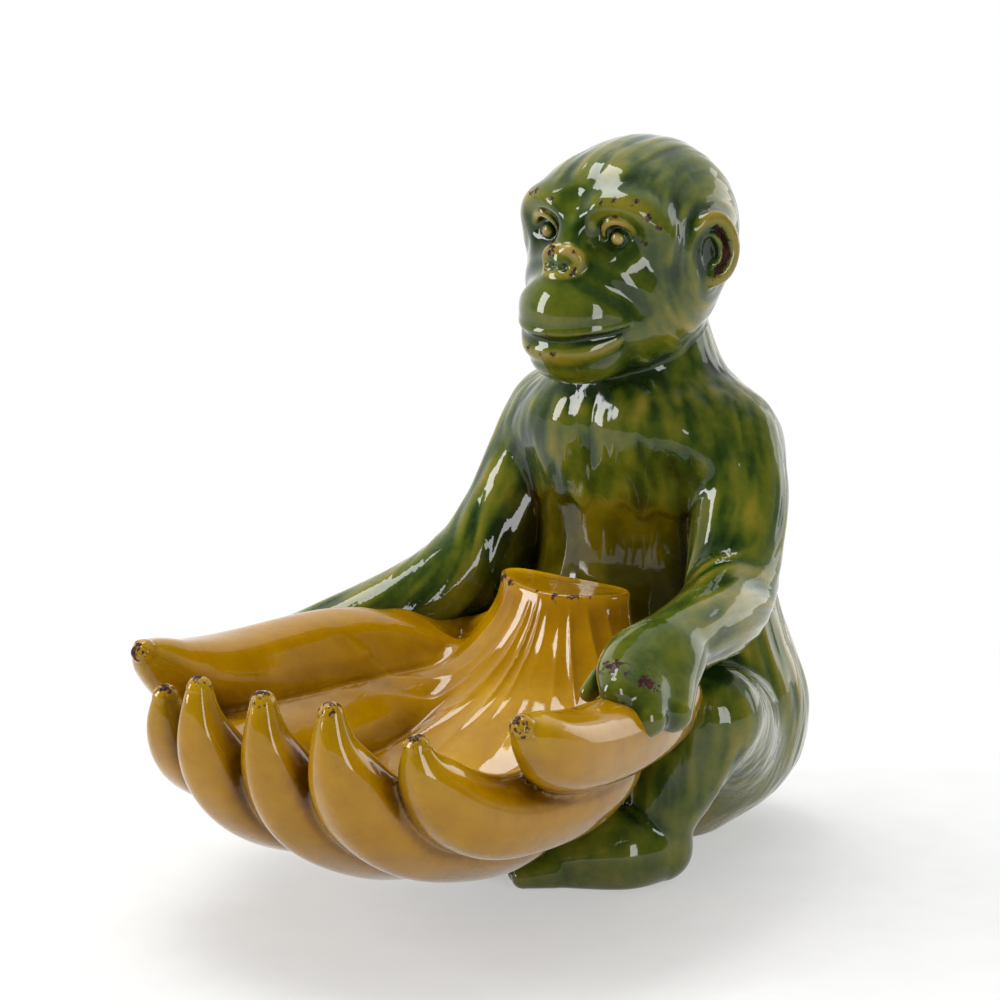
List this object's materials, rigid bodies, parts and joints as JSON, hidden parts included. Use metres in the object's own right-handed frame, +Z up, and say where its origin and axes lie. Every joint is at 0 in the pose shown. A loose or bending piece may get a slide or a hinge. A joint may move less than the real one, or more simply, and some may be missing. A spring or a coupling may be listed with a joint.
{
  "type": "monkey figurine",
  "caption": "Seated glazed ceramic ape holding a shallow open bowl shaped as a hand of bananas, for small things or fruit.",
  "frame": {"origin": "middle of the flat resting face under the seat", "axes": "+Z up, the ape faces -Y, its own left side is +X"},
  "size_m": [0.1906, 0.2614, 0.2359],
  "materials": {
    "green_glaze": "glossy lead-free majolica glaze, dark green where thick, tan where thin",
    "yellow_glaze": "glossy lead-free majolica glaze, ochre yellow with dark brown tips"
  },
  "bodies": {
    "root": {"torso": "green_glaze", "head": "green_glaze", "left_ear": "green_glaze", "right_ear": "green_glaze", "left_arm": "green_glaze", "right_arm": "green_glaze", "left_leg": "green_glaze", "right_leg": "green_glaze", "crown": "yellow_glaze", "banana_1": "yellow_glaze", "banana_2": "yellow_glaze", "banana_3": "yellow_glaze", "banana_4": "yellow_glaze", "banana_5": "yellow_glaze", "banana_6": "yellow_glaze", "banana_7": "yellow_glaze"}
  },
  "joints": []
}
